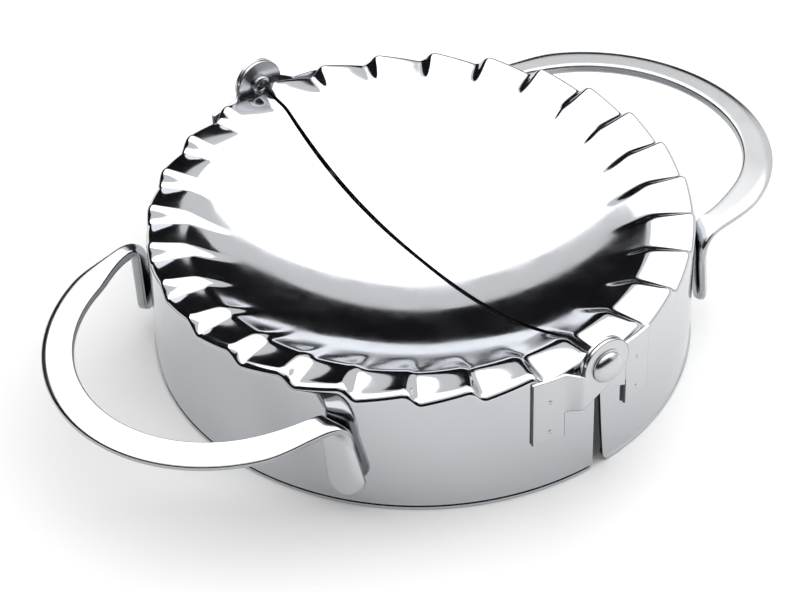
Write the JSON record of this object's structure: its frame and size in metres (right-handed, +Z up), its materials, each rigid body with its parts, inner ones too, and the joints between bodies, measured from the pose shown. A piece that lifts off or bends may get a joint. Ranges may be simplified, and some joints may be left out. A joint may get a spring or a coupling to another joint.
{
  "type": "empanada press",
  "caption": "Stainless-steel press that cuts a dough disc, folds it in half over its filling and crimps the edge, with hinged crimping halves on a cutting skirt and loop handles.",
  "frame": {"origin": "centre of the cutting circle, on the surface that the press stands on", "axes": "+Z up, +Y along the hinge axis, -X through the middle of the left half and its handle"},
  "size_m": [0.1822, 0.13, 0.0372],
  "materials": {
    "pressed_sheet": "mirror-polished stainless steel sheet",
    "handle_bar": "polished stainless steel flat bar",
    "hinge_plate": "polished stainless steel sheet with faint weld dots",
    "rivet": "polished stainless steel rivet"
  },
  "bodies": {
    "left_half": {"left_shell": "pressed_sheet", "left_handle": "handle_bar", "front_outer_plate": "hinge_plate", "back_inner_plate": "hinge_plate", "front_rivet": "rivet", "back_rivet": "rivet"},
    "right_half": {"right_shell": "pressed_sheet", "right_handle": "handle_bar", "front_inner_plate": "hinge_plate", "back_outer_plate": "hinge_plate"}
  },
  "joints": [
    {"name": "fold", "type": "hinge", "parent": "left_half", "child": "right_half", "pos_m": [0, 0, 0.0313], "axis": [0, -1, 0], "range_deg": [-3, 180]}
  ]
}
